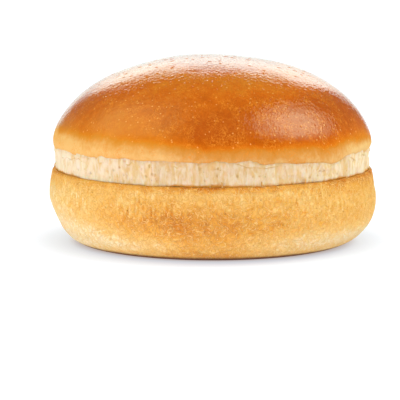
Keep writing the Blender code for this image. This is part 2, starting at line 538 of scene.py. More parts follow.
@dataclass(frozen=True)
class TornCrumb:
    """Finish of the torn side and the cut faces: pale, fibrous and full of small pores."""

    pale: Colour = (0.79, 0.640, 0.495, 1.0)
    # Warm colour of random patches, and painted shade in deep places.
    warm: Colour = (0.70, 0.45, 0.205, 1.0)
    # Painted shade in pores and holes.
    pore: Colour = (0.54, 0.32, 0.14, 1.0)
    # Toast, and painted shade under the lip and in the crease at the slice.
    toast_and_shade: Colour = (0.62, 0.25, 0.040, 1.0)
    fibres: Mottle = Mottle(0.0014, 3.0, 0.55, 0.9, upright=0.30, amount=2.1)
    patches: Mottle = Mottle(0.0026, 3.0, 0.6, 0.8, upright=0.55, amount=1.8)
    # How much depth warms the colour: painted shade in grooves, pores and under the ledge.
    shaded_by_depth: float = 0.7
    warmed: tuple[float, float] = (-0.35, 1.00)
    # Where depth turns to the pore colour: painted shade.
    deep: Span = (0.65, 1.0, 0.0, 0.8)
    holes: Dots = Dots(0.0012, 0.24, 0.06, 0.18, amount=0.50)
    ragged: Mottle = Mottle(0.0012, 2.0, amount=0.5)
    toasted: tuple[float, float] = (0.15, 0.85)
    crumbs: Mottle = Mottle(0.00050, 2.0, amount=0.00008)
    fibre_depth: float = 0.00035
    hole_depth: float = 0.00020

    def material(self) -> bpy.types.Material:
        """Returns the crumb's material, which reads how deep and how browned each point is: depth becomes
        painted shade, and browning is toast mixed with painted shade.
        """
        recipe = Recipe("torn_crumb")
        sunk = recipe.attribute("sunk")
        fibres = recipe.noise(self.fibres)
        # Depth becomes painted shade: grooves, pores and the strip under the ledge warm and darken.
        warmth = recipe.math("ADD", recipe.times(sunk, self.shaded_by_depth), recipe.attribute("tone"))
        warmth = recipe.varied(recipe.mottled(warmth, self.patches), fibres, self.fibres.amount)
        colour = recipe.mix(recipe.spread(warmth, *self.warmed), self.pale, self.warm)
        # Painted shade: the deepest places take the pore colour.
        colour = recipe.mix(recipe.spread(sunk, *self.deep), colour, self.pore)
        # Painted shade in small holes.
        holes = recipe.spots(self.holes)
        colour = recipe.mix(recipe.times(holes, self.holes.amount), colour, self.pore)
        edge = recipe.mottled(recipe.attribute("baked"), self.ragged)
        colour = recipe.mix(recipe.spread(edge, *self.toasted), colour, self.toast_and_shade)
        normal = recipe.bumped(
            (fibres, self.fibre_depth),
            (recipe.less(1.0, holes), self.hole_depth),
            (recipe.noise(self.crumbs), self.crumbs.amount),
        )
        return recipe.finish(
            Base_Color=colour,
            Roughness=0.9,
            Specular_IOR_Level=0.1,
            Subsurface_Weight=0.6,
            Subsurface_Radius=(1.0, 0.6, 0.3),
            Subsurface_Scale=0.0020,
            Normal=normal,
        )


@dataclass(frozen=True)
class GoldenCrust:
    """Finish of the heel: matte golden crust with raised paler worm-like threads and pores."""

    stops: tuple[tuple[float, Colour], ...] = (
        (0.00, (0.90, 0.700, 0.420, 1.0)),
        (0.28, (0.86, 0.505, 0.160, 1.0)),
        (0.56, (0.78, 0.348, 0.056, 1.0)),
        (0.77, (0.65, 0.225, 0.026, 1.0)),
        (1.00, (0.45, 0.115, 0.008, 1.0)),
    )
    thread: Colour = (0.91, 0.565, 0.215, 1.0)
    # Painted shade in the crust's pores.
    pore: Colour = (0.46, 0.165, 0.025, 1.0)
    # Painted contact shade: near-black colour of the ring where the heel meets the floor.
    contact_shade: Colour = (0.16, 0.045, 0.006, 1.0)
    clouds: Mottle = Mottle(0.012, 3.0, 0.55, 0.4, amount=0.28)
    mottling: Mottle = Mottle(0.0024, 1.6, 0.5, 1.0)
    mottled_shares: Span = (0.0, 0.5, 0.30, 0.55)
    streaks: Mottle = Mottle(0.0009, 2.0, 0.5, 0.6, upright=0.22)
    speckle: Mottle = Mottle(0.0007, 1.0, amount=0.11)
    threads: tuple[Threads, Threads] = (Threads(0.0016, 0.8, 0.040), Threads(0.0023, 1.3, 0.034))
    thread_shares: Span = (0.55, 0.92, 0.72, 0.15)
    grooves: tuple[Threads, Threads] = (Threads(0.0016, 0.8, 0.100), Threads(0.0023, 1.3, 0.085))
    groove_browned: float = 0.20
    pores: Dots = Dots(0.0021, 0.19, 0.06, 0.30, amount=0.60)
    pore_shares: Span = (0.15, 0.50, 0.35, 1.0)
    ragged: Mottle = Mottle(0.0016, 2.0, amount=0.25)
    contact_shade_span: tuple[float, float] = (0.10, 0.95)
    skin: Mottle = Mottle(0.0006, 1.0, amount=0.00004)
    thread_depth: float = 0.00011
    mottling_depth: float = 0.00010
    pore_depth: float = 0.00014

    def material(self) -> bpy.types.Material:
        """Returns the heel's crust material, which reads how far each point is baked."""
        recipe = Recipe("golden_crust")
        baked = recipe.attribute("baked")
        mottling = recipe.noise(self.mottling)
        depth = recipe.mottled(baked, self.clouds)
        depth = recipe.varied(depth, mottling, recipe.spread(baked, *self.mottled_shares))
        depth = recipe.varied(depth, recipe.noise(self.streaks), recipe.attribute("streaked"))
        depth = recipe.mottled(depth, self.speckle)
        threads = recipe.threads(*self.threads)
        groove = recipe.times(recipe.less(recipe.threads(*self.grooves), threads), self.groove_browned)
        colour = recipe.ramp(recipe.math("ADD", depth, groove), self.stops)
        shown = recipe.times(threads, recipe.spread(baked, *self.thread_shares))
        colour = recipe.mix(shown, colour, self.thread)
        # Painted shade in the crust's pores.
        pores = recipe.times(recipe.spots(self.pores), recipe.spread(baked, *self.pore_shares))
        colour = recipe.mix(recipe.times(pores, self.pores.amount), colour, self.pore)
        # Painted contact shade on the ring just above the flat spot.
        below = recipe.mottled(recipe.attribute("below"), self.ragged)
        colour = recipe.mix(recipe.spread(below, *self.contact_shade_span), colour, self.contact_shade)
        normal = recipe.bumped(
            (threads, self.thread_depth),
            (mottling, self.mottling_depth),
            (recipe.noise(self.skin), self.skin.amount),
            (recipe.less(1.0, pores), self.pore_depth),
        )
        return recipe.finish(
            Base_Color=colour,
            Roughness=0.65,
            Specular_IOR_Level=0.1,
            Subsurface_Weight=0.25,
            Subsurface_Radius=(1.0, 0.45, 0.18),
            Subsurface_Scale=0.0015,
            Normal=normal,
        )


@dataclass(frozen=True)
class PaleFloor:
    """Finish of the studio floor: white and matte, with a painted glow that stands in for light and fades into a
    painted shadow under the bun, tinted warm near its foot.

    Each glow says where it starts, where it is full, and how strong it is there.
    """

    colour: Colour = (0.232, 0.246, 0.282, 1.0)
    shadow_tint_colour: Colour = (0.262, 0.215, 0.175, 1.0)
    glow_colour: Colour = (0.97, 0.985, 1.05, 1.0)
    shadow_tint_glow: Colour = (1.14, 0.88, 0.70, 1.0)
    # Radii where the painted warm shadow tint near the bun gives way to plain white.
    warmed: tuple[float, float] = (0.0385, 0.0465)
    centre: tuple[float, float, float] = (0.0, 0.0048, 0.0)
    # The glow is painted light; inside where it starts lies a painted shadow under the bun.
    inner_glow: tuple[float, float, float] = (0.033, 0.047, 0.60)
    outer_glow: tuple[float, float, float] = (0.042, 0.064, 0.34)

    def material(self) -> bpy.types.Material:
        """Returns the floor's material."""
        recipe = Recipe("pale_floor")
        inputs = {0: recipe.place, 1: self.centre}
        away = recipe.node("ShaderNodeVectorMath", "Value", inputs, operation="DISTANCE")
        inner, outer = (
            recipe.spread(away, start, full, 0.0, strength)
            for start, full, strength in (self.inner_glow, self.outer_glow)
        )
        # Painted shadow: near the bun the floor turns warm and its glow dims.
        outside_shadow_tint = recipe.spread(away, *self.warmed)
        return recipe.finish(
            Base_Color=recipe.mix(outside_shadow_tint, self.shadow_tint_colour, self.colour),
            Roughness=0.8,
            Specular_IOR_Level=0.0,
            Emission_Color=recipe.mix(outside_shadow_tint, self.shadow_tint_glow, self.glow_colour),
            Emission_Strength=recipe.math("ADD", inner, outer),
        )


def turned(outline: Outline, steps: int) -> bmesh.types.BMesh:
    """Rolls a sheet into a closed shape whose cross-section is an outline about the Z axis.

    Args:
        outline: Radius and height of each point, from axis to axis.
        steps: Number of faces around.

    Returns:
        The closed mesh, its faces pointing out.
    """
    mesh = bmesh.new()
    rings = len(outline) - 1
    bmesh.ops.create_grid(mesh, x_segments=steps, y_segments=rings, size=1.0)
    for vertex in mesh.verts:
        angle = (vertex.co.x + 1.0) * math.pi
        radius, height = outline[round((vertex.co.y + 1.0) / 2 * rings)]
        vertex.co = (radius * math.cos(angle), radius * math.sin(angle), height)
    bmesh.ops.remove_doubles(mesh, verts=mesh.verts[:], dist=WELD)
    bmesh.ops.recalc_face_normals(mesh, faces=mesh.faces[:])
    return mesh


def note(mesh: bmesh.types.BMesh, **values: Callable[[Vector], float]) -> None:
    """Stores named numbers at each point of a mesh, worked out from where the point stands."""
    for name, value in values.items():
        layer = mesh.verts.layers.float.new(name)
        for vertex in mesh.verts:
            vertex[layer] = value(vertex.co)


def dented(mesh: bmesh.types.BMesh, relief: Callable[[Vector], float], shift: Vector) -> None:
    """Gives a mesh its fine relief, in metres along its normals, and then moves the whole by a shift."""
    mesh.normal_update()
    moves = [vertex.normal * relief(vertex.co) for vertex in mesh.verts]
    for vertex, move in zip(mesh.verts, moves):
        vertex.co += move + shift


def finished(
    name: str, mesh: bmesh.types.BMesh, material: bpy.types.Material, node: str
) -> None:
    """Turns a finished mesh into a smooth piece that rides on the bun.

    Args:
        name: The piece's name.
        mesh: The mesh, which is used up.
        material: Its finish.
        node: The solid that the piece stands for.
    """
    data = bpy.data.meshes.new(name)
    mesh.to_mesh(data)
    mesh.free()
    data.shade_smooth()
    data.materials.append(material)
    piece = bpy.data.objects.new(name, data)
    bpy.context.scene.collection.objects.link(piece)
    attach(piece, "root")
    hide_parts(node)
    triangles = sum(len(face.vertices) - 2 for face in data.polygons)
    log.info("%s: %d triangles", name, triangles)


@dataclass(frozen=True)
class HeelTones:
    """How far the parts of the heel's crust are baked, and where each part fades out.

    Heights and depths are in metres, places sideways are shares of the rim's radius, and
    places round the bun are in radians.
    """

    side: float = 0.30
    cut_face: float = 0.05
    face_edge: Fade = Fade(1.0, 0.972, 0.950)
    face_skin: float = 0.0001
    # Painted crease shade: a brown line on the heel just under the slice, partly toast.
    crease_shade_line: Fade = Fade(0.22, 0.0008, 0.0002)
    rim: Fade = Fade(0.15, 0.0022, 0.0010)
    browned_rim: Fade = Fade(0.11, 0.0022, 0.0010)
    rim_kept_at_ends: float = 0.1
    end_patch: Fade = Fade(0.31, 0.0058, 0.0012)
    # Painted highlight: a paler belt just under the rim, on the front.
    highlight_belt_top: Fade = Fade(0.05, 0.0014, 0.0022)
    highlight_belt_foot: Fade = Fade(1.0, 0.0050, 0.0028)
    middle: Bell = Bell(0.38, 0.0122, 0.0064)
    middle_all_round: float = 0.05
    front: Bell = Bell(1.0, FRONT - 0.18, 0.60)
    left: Fade = Fade(1.0, 0.3, 1.0)
    left_pale: float = 0.14
    left_belly_pale: Bell = Bell(0.08, 0.0100, 0.0040)
    right: Fade = Fade(0.07, 0.55, 1.0)
    low_pale: Fade = Fade(0.36, 0.0125, 0.0040)
    low_front: Bell = Bell(1.0, FRONT, 0.45)
    bottom: Fade = Fade(0.29, 0.0062, 0.0008)


@dataclass
class Heel:
    """The lower half: a flat cut face, a rounded rim, a full side and a flat spot below."""

    cut: Slice
    width: float = 0.1020
    base_radius: float = 0.0330
    wide_height: float = 0.0168
    round_out: float = 3.1
    round_up: float = 2.05
    rim_radius: float = 0.0502
    rim_lean: float = 1.5
    rim_round: float = 0.0009
    rim_steps: int = 6
    side_steps: int = 20
    foot_steps: int = 120
    rim_spacing: float = 0.0003
    spacing: float = 0.0005
    steps: int = 640
    face_rings: tuple[float, ...] = (0.0, 0.25, 0.5, 0.75, 0.92, 0.95, 0.965, 0.98)
    base_rings: tuple[float, ...] = (0.9, 0.7, 0.4, 0.0)
    dimples: Grain = Grain(0.00010, 0.0045, 0.0045, 11.0)
    pits: Grain = Grain(0.00006, 0.0018, 0.0018, 13.0)
    smooth_foot: float = 0.004
    smooth_rim: float = 0.0002
    tones: HeelTones = HeelTones()
    rim_wander: Grain = Grain(0.0005, 0.003, TALL, 15.0)
    patch_wander: Grain = Grain(0.0012, 0.005, 0.005, 19.0)
    # Where the painted contact shade lies: its fade by height above the ground, and the ring's width.
    contact_shade_ring: Fade = Fade(1.0, 0.0027, 0.0007)
    contact_shade_width: float = 0.003
    streak_foot: Fade = Fade(0.85, 0.0110, 0.0160)
    streak_top: Fade = Fade(1.0, 0.0232, 0.0215)
    streak_patches: Grain = Grain(1.0, 0.011, 0.011, 27.0)
    streaked_patches: Fade = Fade(1.0, -0.35, 0.35)
    streaked_all_over: float = 0.15
    uneven: Unevenness = Unevenness(
        waves=((2, 0.0040, 1.40), (3, 0.0025, 1.57), (5, 0.0016, 1.40)),
        bulges=(
            Bulge(right=0.0010, left=0.0, low=0.0, high=0.0180),
            Bulge(right=0.0, left=-0.0009, low=0.0, high=0.0145),
        ),
        seed=3.0,
    )

    def outline(self) -> Outline:
        """Returns the half outline, from the middle of the cut face down to the base."""
        wide = self.width / 2
        face_radius = self.rim_radius - self.rim_round
        shoulder = self.cut.height - self.rim_round
        face = [(share * face_radius, self.cut.height) for share in self.face_rings]
        rim = quarter(face_radius, self.rim_radius, shoulder, self.cut.height, 2, 2, self.rim_steps)
        side = [
            (
                wide - (wide - self.rim_radius) * share**self.rim_lean,
                self.wide_height + (shoulder - self.wide_height) * share,
            )
            for share in reversed(shares(self.side_steps)[:-1])
        ]
        round_out, round_up = self.round_out, self.round_up
        foot = quarter(self.base_radius, wide, self.wide_height, 0.0, round_out, round_up, self.foot_steps)
        base = [(share * self.base_radius, 0.0) for share in self.base_rings]
        side = evenly([rim[-1], *side, *reversed(foot[:-1])], self.spacing)
        return face + evenly(rim, self.rim_spacing) + side[1:] + base

    def uneven_place(self, place: Vector) -> Vector:
        """Returns where a point of the true turned shape lies on the uneven dough."""
        stands_out = self.uneven.stands_out(place) * rise(0.0, self.wide_height, place.z)
        stands_out *= rise(0.0, self.base_radius, radius_of(place))
        stands_out += self.uneven.bulged(place)
        return self.uneven.widened(place) + flat(place) * stands_out

    def relief(self, place: Vector) -> float:
        """Returns the crust's fine dimples at a point, never standing out, in metres."""
        off_faces = rise(0.0, self.smooth_foot, place.z)
        off_faces *= rise(self.cut.height, self.cut.height - self.smooth_rim, place.z)
        return (self.dimples.sunk(place) + self.pits.sunk(place)) * off_faces

    def baked(self, place: Vector) -> float:
        """Returns how far the crust is baked at a point, from 0 to 1, with painted crease shade under the slice
        and a painted highlight belt in front.
        """
        tones = self.tones
        angle = angle_of(place)
        sideways = place.x / self.rim_radius
        below_cut = self.cut.height - place.z + self.rim_wander.at(place)
        crease_toast_and_shade = self.cut.crease_toast_and_shade(place)
        ends = abs(math.cos(angle)) ** 3
        # Painted crease shade along the slice, partly toast, browns the heel's rim and line.
        rim = tones.rim.at(below_cut) + crease_toast_and_shade * tones.browned_rim.at(below_cut)
        value = tones.side + crease_toast_and_shade * tones.crease_shade_line.at(below_cut)
        value += rim * (1.0 - (1.0 - tones.rim_kept_at_ends) * ends)
        value += ends * tones.end_patch.at(below_cut + self.patch_wander.at(place))
        front = tones.front.at(angle)
        all_round = tones.middle_all_round
        value += tones.middle.at(place.z) * (all_round + (1.0 - all_round) * front)
        # Painted highlight: the front is paler in a belt just under the rim.
        value -= front * tones.highlight_belt_top.at(below_cut) * tones.highlight_belt_foot.at(below_cut)
        value -= tones.left.at(-sideways) * (tones.left_pale + tones.left_belly_pale.at(place.z))
        value -= tones.low_pale.at(place.z) * (1.0 - tones.low_front.at(angle))
        value += tones.bottom.at(place.z) + tones.right.at(sideways)
        on_face = tones.face_edge.at(radius_of(place) / self.rim_radius)
        on_face *= rise(self.cut.height - tones.face_skin, self.cut.height, place.z)
        return clamp(value + (tones.cut_face - value) * on_face)

    def below(self, place: Vector) -> float:
        """Returns 1 on the ring just above the flat spot, where contact shade is painted, and 0 on the rest of
        the heel.
        """
        inner = self.base_radius - self.contact_shade_width
        return self.contact_shade_ring.at(place.z) * rise(inner, self.base_radius, radius_of(place))

    def streaked(self, place: Vector) -> float:
        """Returns how plainly upright streaks show at a point, strongest in a belt under the rim."""
        belt = self.streak_foot.at(place.z) * self.streak_top.at(place.z)
        patches = self.streaked_patches.at(self.streak_patches.at(place))
        return self.streaked_all_over + belt * patches

    def build(self) -> Vector:
        """Builds the heel and dresses it, and returns how far it was moved onto the axis."""
        mesh = turned(self.outline(), self.steps)
        for vertex in mesh.verts:
            vertex.co = self.uneven_place(vertex.co)
        xs, ys = ([vertex.co[axis] for vertex in mesh.verts] for axis in (0, 1))
        shift = -Vector(((min(xs) + max(xs)) / 2, (min(ys) + max(ys)) / 2, 0.0))
        note(mesh, baked=self.baked, streaked=self.streaked, below=self.below)
        dented(mesh, self.relief, shift)
        finished("heel_crust", mesh, GoldenCrust().material(), "heel")
        return shift


@dataclass(frozen=True)
class CrownTones:
    """How far the parts of the crown's crust are baked, and where each part fades out.

    Heights are in metres above the rim, or above the torn edge for the lip's own fades. Places
    sideways are shares of the rim's radius.
    """

    plain: float = 0.19
    left: Fade = Fade(1.0, -0.02, 0.58)
    left_raised: float = 0.0016
    left_softer: float = 0.0065
    right_raised: Fade = Fade(0.0004, 0.3, 0.7)
    right_softer: Fade = Fade(0.0040, 0.45, 0.85)
    wander: tuple[Grain, Grain] = (Grain(0.0011, 0.010, 0.010, 41.0), Grain(0.0003, 0.0035, 0.0035, 43.0))
    # Painted crease shade along the crust's lower edge, more on the left.
    lip: Fade = Fade(0.02, 0.0006, 0.0)
    left_lip_shade: Fade = Fade(0.04, 0.0006, 0.0)
    gold: Fade = Fade(0.10, -0.0026, 0.0)
    light_caramel: Fade = Fade(0.25, -0.0005, 0.0025)
    light_softer: float = 0.2
    caramel: Fade = Fade(0.21, 0.0010, 0.0038)
    # Painted shade: a darker band just above the rim, where the front lights fall strongest.
    shade_above_rim: Fade = Fade(0.22, 0.0010, 0.0036)
    upper_pale: Fade = Fade(0.38, 0.010, 0.020)
    top: Fade = Fade(0.40, 0.0208, 0.0245)
    # Painted shade on the dome's right, where the right softbox falls strongest.
    right_shade: Fade = Fade(0.08, 0.15, 0.8)
    right_shade_height: Fade = Fade(1.0, 0.004, 0.012)
    left_pale: float = 0.06
    left_rim_pale: Fade = Fade(0.09, 0.0015, -0.0005)
    right_pale: Fade = Fade(0.06, 0.2, 0.9)
    far_left_pale: Fade = Fade(0.36, 0.78, 0.97)
    far_right_pale: Fade = Fade(0.32, 0.70, 0.97)
    low: Fade = Fade(1.0, 0.010, 0.002)
    spot_pale: Fade = Fade(0.24, 0.0, 0.5)
    spot_sideways: Bell = Bell(1.0, -0.53, 0.20)
    spot_height: Bell = Bell(1.0, 0.0088, 0.0032)


@dataclass
class Crown:
    """The upper half: a glazed dome, an overhanging ragged rim and a torn side under it."""

    cut: Slice
    height: float = 0.0588
    side_radius: float = 0.0490
    side_top: float = 0.0310
    rim_radius: float = 0.0499
    rim_height: float = 0.0338
    round_out: float = 2.15
    round_up: float = 1.68
    tilt: float = 0.0145
    end_drop: float = 0.0018
    flutes: Grain = Grain(0.0006, 0.0050, 0.0120, 0.0)
    ragged_height: float = 0.0009
    ragged_width: float = 0.0070
    lip: float = 0.00014
    lip_steps: tuple[tuple[float, float], ...] = (
        (0.000056, -0.00007),
        (0.000224, -0.000042),
        (0.0015, 0.0004),
    )
    dome_steps: int = 200
    overhang_steps: int = 16
    inside_steps: int = 6
    right_lift: Fade = Fade(0.0021, 0.74, 0.98)
    left_lift: Fade = Fade(0.0005, 0.74, 0.98)
    lift_end: float = 0.0015
    spacing: float = 0.0005
    rim_spacing: float = 0.00028
    steps: int = 640
    crumb_spacing: float = 0.00020
    crumb_steps: int = 1560
    torn_from: float = 0.99
    hidden: float = 0.0012
    hidden_inwards: float = 0.0025
    crumb_hidden: float = 0.0009
    crumb_inwards: float = 0.0002
    crumb_bend: float = 0.0004
    top_rings: tuple[float, ...] = (0.0, 0.4, 0.8, 0.97)
    face_rings: tuple[float, ...] = (0.985, 0.95, 0.8, 0.5, 0.25, 0.0)
    tongues: tuple[tuple[float, float, float], ...] = (
        (-40.0, 5.0, 0.0004),
        (-31.0, 6.0, -0.0003),
        (-112.0, 15.0, -0.0004),
        (-70.0, 5.0, 0.0003),
        (30.0, 6.0, 0.0006),
        (95.0, 5.0, 0.0007),
        (150.0, 4.0, 0.0005),
    )
    tongue_full: float = 0.3
    edge_height: Fade = Fade(1.0, 0.0015, 0.0001)
    nibbles: tuple[Grain, Grain] = (Grain(0.0003, 0.0034, TALL, 23.0), Grain(0.0002, 0.0011, TALL, 31.0))
    dents: Grain = Grain(0.00010, 0.0080, 0.0080, 5.0)
    ripples: Grain = Grain(0.000016, 0.0026, 0.0026, 17.0)
    glaze: Fade = Fade(1.0, 0.0026, 0.0060)
    glaze_wander: Grain = Grain(0.0006, 0.006, 0.006, 45.0)
    tones: CrownTones = CrownTones()
    golden_left: Fade = Fade(0.22, 0.05, 0.40)
    golden_low: Fade = Fade(1.0, 0.014, 0.003)
    wrinkled_top: Fade = Fade(1.0, 0.0515, 0.0535)
    pore_width: float = 0.0012
    pore_height: float = 0.0016
    pore_seed: float = 7.3
    without_pore: float = 0.62
    pore_size: float = 0.20
    pore_spread: float = 0.30
    pore_full: float = 0.35
    warm_front: Bell = Bell(0.34, FRONT, 0.75)
    pale_left: Fade = Fade(0.22, 0.4, 0.95)
    warm_right: Fade = Fade(0.12, 0.4, 0.95)
    leans: tuple[Grain, Grain] = (Grain(0.0009, 0.004, 0.003, 55.0), Grain(0.0009, 0.004, 0.003, 56.0))
    coarse_fibres: Grain = Grain(2.2, 0.0019, 0.0062, 51.0)
    fine_fibres: Grain = Grain(0.35, 0.0009, 0.0030, 53.0)
    coarse_share: float = 0.65
    ledge_drop: float = 0.0012
    ledge_edge: tuple[Grain, Grain] = (Grain(0.0016, 0.0048, TALL, 61.0), Grain(0.0007, 0.0015, TALL, 62.0))
    ledge_soft: float = 0.00010
    ledge_places: tuple[Grain, Grain] = (Grain(1.0, 0.0070, TALL, 67.0), Grain(0.25, 0.0020, TALL, 68.0))
    ledge_here: Fade = Fade(1.0, -0.10, 0.25)
    ledge_depth: float = 0.00028
    ledge_shadow: float = 0.00036
    lumps: Grain = Grain(0.00026, 0.0030, 0.0024, 57.0)
    fibre_depth: float = 0.00022
    pore_depth: float = 0.00034
    groove_middle: float = 0.42
    groove_slope: float = 0.55
    sunk_pores: float = 0.50
    sunk_grooves: float = 0.60
    sunk_shadow: float = 0.75
    fringe_height: Fade = Fade(1.0, 0.0012, 0.0)
    fringes: tuple[Grain, Grain] = (Grain(0.00030, 0.0013, TALL, 81.0), Grain(0.00030, 0.0045, TALL, 83.0))
    fringe_plain: float = 0.2
    gap_closed: float = 0.93
    browning_wander: Grain = Grain(0.0008, 0.006, TALL, 71.0)
    # Painted shade under the crust's lip, at the top of the torn side.
    shade_under_lip: Fade = Fade(0.28, -0.0026, -0.0002)
    # Toast and painted crease shade at the crumb's foot, by the slice.
    foot_toast_and_shade: Fade = Fade(1.0, 0.0012, 0.0001)
    foot_wander: float = 0.4
    foot_plain: float = 0.18
    foot_browned: float = 0.79
    crease_shade: Fade = Fade(0.6, 0.0004, 0.0001)
    uneven: Unevenness = Unevenness(
        waves=((2, 0.0035, 1.75), (3, 0.0028, 4.71), (4, 0.0014, 1.50)),
        bulges=(Bulge(right=0.0009, left=0.0, low=0.0330, high=0.0580),),
        seed=7.0,
    )

    def crust_outline(self) -> Outline:
        """Returns the half outline of the crust, from its top over the rim to its hidden inside."""
        rim, height, side_top = self.rim_radius, self.rim_height, self.side_top
        dome = quarter(0.0, rim, height, self.height, self.round_out, self.round_up, self.dome_steps)
        edge = self.side_radius + self.lip
        overhang = quarter(edge, rim, height, side_top, 2, 2, self.overhang_steps)[-2::-1]
        lip = [(edge - inwards, side_top + raised) for inwards, raised in self.lip_steps]
        hidden = edge - self.hidden_inwards
        inside = [((1.0 - share) * hidden, side_top + self.hidden) for share in shares(self.inside_steps)]
        return evenly(dome, self.spacing) + evenly(overhang, self.rim_spacing)[1:] + lip + inside

    def crumb_outline(self) -> Outline:
        """Returns the half outline of the crumb, from inside the crust down its torn side."""
        hidden_top = self.side_top + self.crumb_hidden
        side = [
            (self.side_radius - self.crumb_inwards, hidden_top),
            (self.side_radius, self.side_top - self.crumb_bend),
            (self.side_radius, self.cut.above),
        ]
        top = [(share * self.side_radius, hidden_top) for share in self.top_rings]
        face = [(share * self.side_radius, self.cut.above) for share in self.face_rings]
        return top + evenly(side, self.crumb_spacing) + face

    def ragged_edge(self, place: Vector) -> float:
        """Returns how far the torn side's upper edge is raised at a point, in metres."""
        below = rise(self.cut.above, self.side_top, place.z)
        above = rise(self.rim_height, self.side_top, place.z)
        around = Vector((place.x / self.ragged_width, place.y / self.ragged_width, 0.5))
        return self.ragged_height * below * above * noise.noise(around)

    def droop(self, place: Vector) -> float:
        """Returns how far the crown's rim hangs down at a point, in metres."""
        sideways = place.x / self.side_radius
        below_top = rise(self.height, self.rim_height, place.z)
        above_cut = rise(self.cut.above, self.side_top, place.z)
        return (self.tilt * place.x + self.end_drop * sideways**2) * below_top * above_cut

    def lifted(self, place: Vector) -> float:
        """Returns how much higher the crust's edge is torn at the crown's two ends, in metres."""
        sideways = place.x / self.rim_radius
        ends = self.right_lift.at(sideways) + self.left_lift.at(-sideways)
        below = rise(self.cut.above, self.side_top, place.z)
        return ends * below * rise(self.rim_height + self.lift_end, self.side_top, place.z)

    def uneven_place(self, place: Vector) -> Vector:
        """Returns where a point of the true turned shape lies on the uneven dough."""
        raised = self.ragged_edge(place) - self.droop(place) + self.lifted(place)
        return self.uneven.widened(place) + UP * raised

    def swell(self, place: Vector) -> Vector:
        """Returns how far the crust swells out at a point."""
        centre = Vector((0.0, 0.0, self.side_top))
        away = (place - centre).normalized() if place.z > self.side_top else flat(place)
        return away * (self.uneven.stands_out(place) + self.uneven.bulged(place))

    def fine_edge(self, place: Vector) -> float:
        """Returns how far the crust's torn lower edge is raised or hangs lower, in metres."""
        near_edge = self.edge_height.at(place.z - self.side_top)
        if near_edge == 0.0:
            return 0.0
        degrees = math.degrees(angle_of(place))
        hangs = sum(
            depth * rise(width, width * self.tongue_full, abs((degrees - middle + 180.0) % 360.0 - 180.0))
            for middle, width, depth in self.tongues
        )
        return -near_edge * (hangs + sum(nibble.at(place) for nibble in self.nibbles))

    def crust_relief(self, place: Vector) -> float:
        """Returns the soft dents of the glazed crust at a point, never standing out, in metres."""
        return self.dents.sunk(place) + self.ripples.sunk(place)

    def glazed(self, place: Vector) -> float:
        """Returns how much of the egg wash reached a point: all on the dome, none at the rim."""
        return self.glaze.at(place.z - self.rim_height + self.glaze_wander.at(place))

    def crust_baked(self, place: Vector) -> float:
        """Returns how far the crust is baked at a point, from 0 at the lip to 1 on the dome, with painted shade
        at the lip's edge, just above the rim and on the right.
        """
        tones = self.tones
        sideways = place.x / self.rim_radius
        left = tones.left.at(-sideways)
        above_lip = place.z - self.side_top
        above = place.z - self.rim_height + sum(grain.at(place) for grain in tones.wander)
        above -= tones.left_raised * left + tones.right_raised.at(sideways)
        softer = tones.left_softer * left + tones.right_softer.at(sideways)
        # The lip terms paint a crease shade along the crust's lower edge.
        value = tones.plain + tones.lip.at(above_lip) + left * tones.left_lip_shade.at(above_lip)
        # The band just above the rim carries painted shade.
        value += tones.gold.at(above) + tones.shade_above_rim.at(above) - tones.upper_pale.at(above)
        value += tones.light_caramel.at(above, tones.light_softer * softer)
        value += tones.caramel.at(above, softer) + tones.top.at(above)
        # Painted shade on the right of the dome.
        value += tones.right_shade.at(sideways) * tones.right_shade_height.at(above)
        value -= left * (tones.left_pale + tones.left_rim_pale.at(above))
        ends = tones.far_left_pale.at(-sideways) + tones.far_right_pale.at(sideways)
        value -= (tones.right_pale.at(sideways) + ends) * tones.low.at(above)
        spot = tones.spot_sideways.at(sideways) * tones.spot_height.at(above)
        return clamp(value - spot * tones.spot_pale.at(-place.y / self.rim_radius))

    def golden(self, place: Vector) -> float:
        """Returns how far caramel gives way to gold at a point: only low on the left of the dome."""
        low = self.golden_low.at(place.z - self.rim_height)
        return self.golden_left.at(-place.x / self.rim_radius) * low

    def wrinkled(self, place: Vector) -> float:
        """Returns 1 on the very top of the dome, where the glaze is wrinkled, and 0 below it."""
        return self.wrinkled_top.at(place.z)

    def pores(self, place: Vector) -> float:
        """Returns how deep the crumb's open cells are at a point, from 0 to 1."""
        x, y, z = place.x / self.pore_width, place.y / self.pore_width, place.z / self.pore_height
        distances, centres = noise.voronoi(Vector((x, y, z)))
        chance = noise.cell(centres[0] * self.pore_seed)
        if chance < self.without_pore:
            return 0.0
        size = self.pore_size + self.pore_spread * clamp(chance * 2.0 - 0.9)
        return rise(size, size * self.pore_full, distances[0])

    def crumb_tone(self, place: Vector) -> float:
        """Returns how warm the crumb is at a point: palest at the left end, warmest in front."""
        sideways = place.x / self.side_radius
        ends = self.warm_right.at(sideways) - self.pale_left.at(-sideways)
        return self.warm_front.at(angle_of(place)) + ends

    def fibres(self, place: Vector) -> float:
        """Returns the upright fibres that tearing pulled out of the crumb, from -1 in a groove to 1."""
        moved = place + Vector((self.leans[0].at(place), self.leans[1].at(place), 0.0))
        coarse = 1.0 - abs(self.coarse_fibres.at(moved))
        return self.coarse_share * coarse + self.fine_fibres.at(moved)

    def ledge(self, place: Vector) -> float:
        """Returns 1 on the strip of crumb that hangs from the crust and 0 below its torn edge."""
        height = self.side_top - self.ledge_drop + sum(grain.at(place) for grain in self.ledge_edge)
        here = self.ledge_here.at(sum(grain.at(place) for grain in self.ledge_places))
        return rise(height - self.ledge_soft, height + self.ledge_soft, place.z) * here

    def torn_relief(self, place: Vector) -> float:
        """Returns how far the torn crumb stands out at a point, in metres."""
        raised = self.fibre_depth * self.fibres(place) + self.ledge_depth * self.ledge(place)
        return raised + self.lumps.at(place) - self.pore_depth * self.pores(place)

